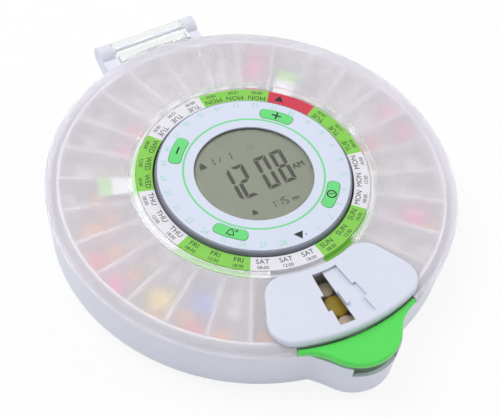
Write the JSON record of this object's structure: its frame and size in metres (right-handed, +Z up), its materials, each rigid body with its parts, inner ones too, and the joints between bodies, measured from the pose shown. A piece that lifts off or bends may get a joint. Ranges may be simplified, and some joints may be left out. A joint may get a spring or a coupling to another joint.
{
  "type": "automatic pill dispenser",
  "caption": "Round table-top pill dispenser: a motor turns a tray of dose cells under a frosted hinged lid with a sliding shutter; a fixed display has a clock and buttons.",
  "frame": {"origin": "on the table, under the middle of the round body", "axes": "+Z up, -Y to the front with the latch, +Y to the back with the lid's hinge, +X to the right"},
  "size_m": [0.19, 0.2176, 0.0353],
  "materials": {
    "shell_plastic": "satin",
    "dark_plastic": "satin",
    "inner_plastic": "satin",
    "grey_plastic": "satin",
    "face_plastic": "satin",
    "green_plastic": "gloss",
    "frosted_plastic": "frosted",
    "clear_plastic": "clear",
    "lens_plastic": "frosted",
    "window": "clear",
    "lcd": "matt",
    "printed_ring": "satin",
    "tray_plastic": "satin",
    "gear_plastic": "satin",
    "rubber": "matt",
    "steel": "bright",
    "spring_steel": "bright",
    "battery_case": "gloss",
    "circuit": "satin",
    "chip": "matt",
    "zebra_rubber": "matt",
    "led_plastic": "gloss"
  },
  "bodies": {
    "base": {"outer_shell": "shell_plastic", "base_floor": "shell_plastic", "hub_wall": "inner_plastic", "bottom_cover": "shell_plastic", "rubber_feet": "rubber", "bottom_screws": "steel", "battery_holder": "dark_plastic", "batteries": "battery_case", "battery_plates": "spring_steel", "battery_springs": "spring_steel", "drive_motor": "steel", "gear_bracket": "inner_plastic", "gear_axle": "steel", "index_switch": "dark_plastic", "display_housing": "grey_plastic", "display_face": "face_plastic", "tact_switches": "chip", "circuit_board": "circuit", "board_screws": "steel", "controller_chip": "chip", "buzzer": "chip", "lcd_window": "window", "lcd_panel": "lcd", "lcd_connectors": "zebra_rubber", "hinge_pin": "shell_plastic", "latch_pin": "steel", "latch_springs": "spring_steel", "alarm_lens": "lens_plastic", "led_board": "circuit", "alarm_led": "led_plastic"},
    "tray": {"tray_floor": "tray_plastic", "tray_outer_wall": "tray_plastic", "tray_inner_wall": "tray_plastic", "tray_flange": "tray_plastic", "tray_dividers": "tray_plastic", "tray_ring_gear": "tray_plastic", "dosage_ring": "printed_ring"},
    "gear": {"reduction_gear": "gear_plastic"},
    "motor_gear": {"motor_pinion": "gear_plastic", "motor_shaft": "steel"},
    "lid": {"lid": "frosted_plastic", "lid_collar": "clear_plastic", "hinge_leaf": "clear_plastic", "dispenser_plate": "face_plastic", "shutter_rails": "face_plastic"},
    "shutter": {"shutter": "frosted_plastic"},
    "latch": {"latch_lever": "green_plastic"},
    "battery_door": {"battery_door": "shell_plastic"},
    "button_plus": {"button_plus": "green_plastic"},
    "button_minus": {"button_minus": "green_plastic"},
    "button_alarm": {"button_alarm": "green_plastic"},
    "button_clock": {"button_clock": "green_plastic"}
  },
  "joints": [
    {"name": "tray_spin", "type": "hinge", "parent": "base", "child": "tray", "pos_m": [0, 0, 0.02], "axis": [0, 0, 1], "continuous": true},
    {"name": "gear_spin", "type": "hinge", "parent": "base", "child": "gear", "pos_m": [0, 0.039, 0.02], "axis": [0, 0, 1], "continuous": true},
    {"name": "motor_spin", "type": "hinge", "parent": "base", "child": "motor_gear", "pos_m": [0.01125, 0.03483, 0.018], "axis": [0, 0, 1], "continuous": true},
    {"name": "lid_hinge", "type": "hinge", "parent": "base", "child": "lid", "pos_m": [0, 0.1042, 0.0245], "axis": [-1, 0, 0], "range_deg": [0, 105]},
    {"name": "shutter_slide", "type": "hinge", "parent": "lid", "child": "shutter", "pos_m": [0, 0, 0.031], "axis": [0, 0, 1], "range_deg": [-6.1, 6]},
    {"name": "latch_press", "type": "hinge", "parent": "base", "child": "latch", "pos_m": [0, -0.097, 0.012], "axis": [1, 0, 0], "range_deg": [0, 4.5], "stiffness_Nm_per_rad": 0.6, "springref_deg": -2.86, "deforming": ["latch_springs"]},
    {"name": "battery_door_hinge", "type": "hinge", "parent": "base", "child": "battery_door", "pos_m": [0, 0.0253, 0.0025], "axis": [1, 0, 0], "range_deg": [0, 80]},
    {"name": "press_plus", "type": "slide", "parent": "base", "child": "button_plus", "axis": [0, 0, -1], "range_m": [0, 0.0006], "stiffness_N_per_m": 1500, "springref_m": -0.0003},
    {"name": "press_minus", "type": "slide", "parent": "base", "child": "button_minus", "axis": [0, 0, -1], "range_m": [0, 0.0006], "stiffness_N_per_m": 1500, "springref_m": -0.0003},
    {"name": "press_alarm", "type": "slide", "parent": "base", "child": "button_alarm", "axis": [0, 0, -1], "range_m": [0, 0.0006], "stiffness_N_per_m": 1500, "springref_m": -0.0003},
    {"name": "press_clock", "type": "slide", "parent": "base", "child": "button_clock", "axis": [0, 0, -1], "range_m": [0, 0.0006], "stiffness_N_per_m": 1500, "springref_m": -0.0003}
  ],
  "couplings": [
    {"joint": "gear_spin", "follows": "tray_spin", "ratio": 5.3333},
    {"joint": "motor_spin", "follows": "tray_spin", "ratio": -16}
  ]
}
